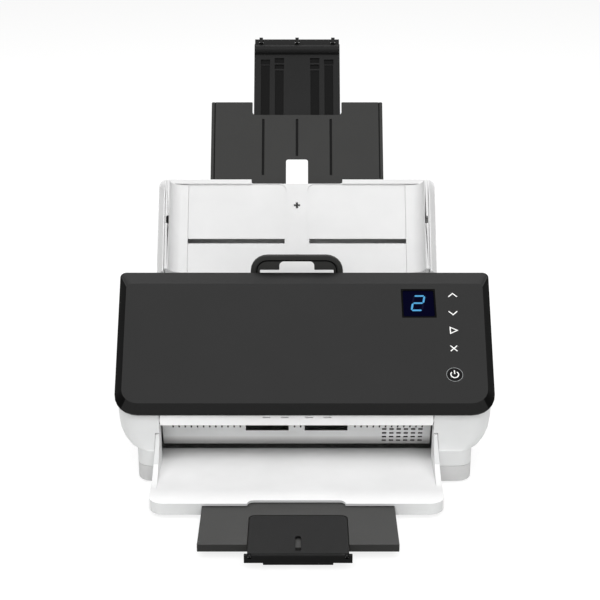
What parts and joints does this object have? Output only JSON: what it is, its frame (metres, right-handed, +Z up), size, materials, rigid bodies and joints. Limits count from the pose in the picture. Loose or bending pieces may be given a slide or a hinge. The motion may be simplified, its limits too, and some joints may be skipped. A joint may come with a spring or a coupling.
{
  "type": "sheet fed document scanner",
  "caption": "Desktop sheet fed document scanner: swing-open sloping control pod, folding input tray with coupled side guides and extensions, sliding output tray with end stop.",
  "frame": {"origin": "desk level, under the middle of the open footprint", "axes": "+Z up, front faces -Y, +X to the right as seen from the front"},
  "size_m": [0.315, 0.4398, 0.3017],
  "materials": {
    "white_ABS": "fine spark texture",
    "black_ABS": "fine spark texture",
    "dark_grey_ABS": "fine spark texture",
    "roller_rubber": "matt",
    "plated_steel": "plated",
    "circuit_board": "solder mask",
    "scan_glass": "polished",
    "smoked_acrylic": "polished",
    "natural_acetal": "moulded"
  },
  "bodies": {
    "housing": {"base_plate": "white_ABS", "data_port": "plated_steel", "drive_belt": "roller_rubber", "drive_motor": "plated_steel", "exit_cover": "white_ABS", "foot_front_left": "roller_rubber", "foot_front_right": "roller_rubber", "foot_rear_left": "roller_rubber", "foot_rear_right": "roller_rubber", "left_cheek": "white_ABS", "left_frame": "plated_steel", "lower_glass": "scan_glass", "lower_sensor": "black_ABS", "main_board": "circuit_board", "path_plate": "dark_grey_ABS", "power_inlet": "black_ABS", "rear_cover": "white_ABS", "right_cheek": "white_ABS", "right_frame": "plated_steel"},
    "pod": {"front_panel": "black_ABS", "pod_chassis": "white_ABS", "display_window": "smoked_acrylic", "display_module": "black_ABS", "control_board": "circuit_board", "upper_sensor": "black_ABS", "upper_glass": "scan_glass"},
    "release": {"release_lever": "black_ABS"},
    "button": {"power_button": "black_ABS"},
    "separation": {"separation_axle": "plated_steel", "separation_roller": "roller_rubber"},
    "pinch": {"pinch_axle": "plated_steel", "pinch_roller_left": "natural_acetal", "pinch_roller_right": "natural_acetal"},
    "infeed": {"input_tray": "white_ABS", "tray_back": "white_ABS"},
    "infeed_wide": {"wide_extension": "black_ABS"},
    "infeed_narrow": {"narrow_extension": "black_ABS"},
    "infeed_flap": {"end_flap": "black_ABS"},
    "left_guide": {"guide_left": "white_ABS"},
    "right_guide": {"guide_right": "white_ABS"},
    "pinion": {"guide_pinion": "natural_acetal"},
    "outfeed": {"output_tray": "white_ABS"},
    "outfeed_wide": {"output_wide": "dark_grey_ABS"},
    "outfeed_narrow": {"output_narrow": "black_ABS"},
    "outfeed_stop": {"output_stop": "black_ABS"},
    "motor_rotor": {"motor_pulley": "natural_acetal"},
    "feed_roll": {"feed_shaft": "plated_steel", "feed_pulley": "natural_acetal", "feed_tyre_left": "roller_rubber", "feed_tyre_right": "roller_rubber"},
    "drive_roll": {"drive_shaft": "plated_steel", "drive_pulley": "natural_acetal", "drive_tyre_left": "roller_rubber", "drive_tyre_right": "roller_rubber"},
    "exit_roll": {"exit_shaft": "plated_steel", "exit_pulley": "natural_acetal", "exit_tyre_left": "roller_rubber", "exit_tyre_right": "roller_rubber"}
  },
  "joints": [
    {"name": "pod_hinge", "type": "hinge", "parent": "housing", "child": "pod", "pos_m": [0, -0.08243, 0.054], "axis": [1, 0, 0], "range_deg": [0, 75]},
    {"name": "lever_lift", "type": "slide", "parent": "pod", "child": "release", "axis": [0, 0, 1], "range_m": [0, 0.005], "stiffness_N_per_m": 400},
    {"name": "power_press", "type": "slide", "parent": "pod", "child": "button", "axis": [0, 0.515, -0.8572], "range_m": [0, 0.001], "stiffness_N_per_m": 1500},
    {"name": "separation_spin", "type": "hinge", "parent": "pod", "child": "separation", "pos_m": [-0.0065, 0.02179, 0.10641], "axis": [1, 0, 0], "continuous": true},
    {"name": "pinch_spin", "type": "hinge", "parent": "pod", "child": "pinch", "pos_m": [-0.0065, 0.0038, 0.08976], "axis": [1, 0, 0], "continuous": true},
    {"name": "infeed_fold", "type": "hinge", "parent": "housing", "child": "infeed", "pos_m": [-0.0065, 0.08157, 0.102], "axis": [1, 0, 0], "range_deg": [0, 34]},
    {"name": "infeed_wide_slide", "type": "slide", "parent": "infeed", "child": "infeed_wide", "axis": [0, -0.6018, -0.7986], "range_m": [0, 0.066]},
    {"name": "infeed_narrow_slide", "type": "slide", "parent": "infeed_wide", "child": "infeed_narrow", "axis": [0, -0.6018, -0.7986], "range_m": [0, 0.057]},
    {"name": "infeed_flap_hinge", "type": "hinge", "parent": "infeed_narrow", "child": "infeed_flap", "pos_m": [-0.0065, 0.21503, 0.29856], "axis": [-1, 0, 0], "range_deg": [0, 150]},
    {"name": "left_guide_slide", "type": "slide", "parent": "infeed", "child": "left_guide", "axis": [1, 0, 0], "range_m": [0, 0.08]},
    {"name": "right_guide_slide", "type": "slide", "parent": "infeed", "child": "right_guide", "axis": [-1, 0, 0], "range_m": [0, 0.08]},
    {"name": "pinion_spin", "type": "hinge", "parent": "infeed", "child": "pinion", "pos_m": [-0.0065, 0.10474, 0.13275], "axis": [0, -0.7986, 0.6018], "range_deg": [-515, 5]},
    {"name": "outfeed_slide", "type": "slide", "parent": "housing", "child": "outfeed", "axis": [0, 1, 0], "range_m": [0, 0.057]},
    {"name": "outfeed_wide_slide", "type": "slide", "parent": "outfeed", "child": "outfeed_wide", "axis": [0, 0.9997, -0.0262], "range_m": [0, 0.055]},
    {"name": "outfeed_narrow_slide", "type": "slide", "parent": "outfeed_wide", "child": "outfeed_narrow", "axis": [0, -0.9997, 0.0262], "range_m": [0, 0.03]},
    {"name": "outfeed_stop_flip", "type": "hinge", "parent": "outfeed_narrow", "child": "outfeed_stop", "pos_m": [-0.0051, -0.21833, 0.01172], "axis": [-1, 0, 0], "range_deg": [0, 165]},
    {"name": "drive_spin", "type": "hinge", "parent": "housing", "child": "drive_roll", "pos_m": [-0.0065, 0.01116, 0.07751], "axis": [1, 0, 0], "continuous": true},
    {"name": "feed_spin", "type": "hinge", "parent": "housing", "child": "feed_roll", "pos_m": [-0.0065, 0.03328, 0.0873], "axis": [1, 0, 0], "continuous": true},
    {"name": "exit_spin", "type": "hinge", "parent": "housing", "child": "exit_roll", "pos_m": [-0.0065, -0.0425, 0.04643], "axis": [1, 0, 0], "continuous": true},
    {"name": "motor_spin", "type": "hinge", "parent": "housing", "child": "motor_rotor", "pos_m": [-0.0065, 0.00857, 0.042], "axis": [1, 0, 0], "continuous": true}
  ],
  "couplings": [
    {"joint": "feed_spin", "follows": "drive_spin", "ratio": 0.75},
    {"joint": "exit_spin", "follows": "drive_spin", "ratio": 1.125},
    {"joint": "motor_spin", "follows": "drive_spin", "ratio": 1.44},
    {"joint": "pinch_spin", "follows": "drive_spin", "ratio": -1.8},
    {"joint": "separation_spin", "follows": "drive_spin", "ratio": -0.9},
    {"joint": "right_guide_slide", "follows": "left_guide_slide", "ratio": 1},
    {"joint": "pinion_spin", "follows": "left_guide_slide", "rad_per_m": -111.11}
  ]
}
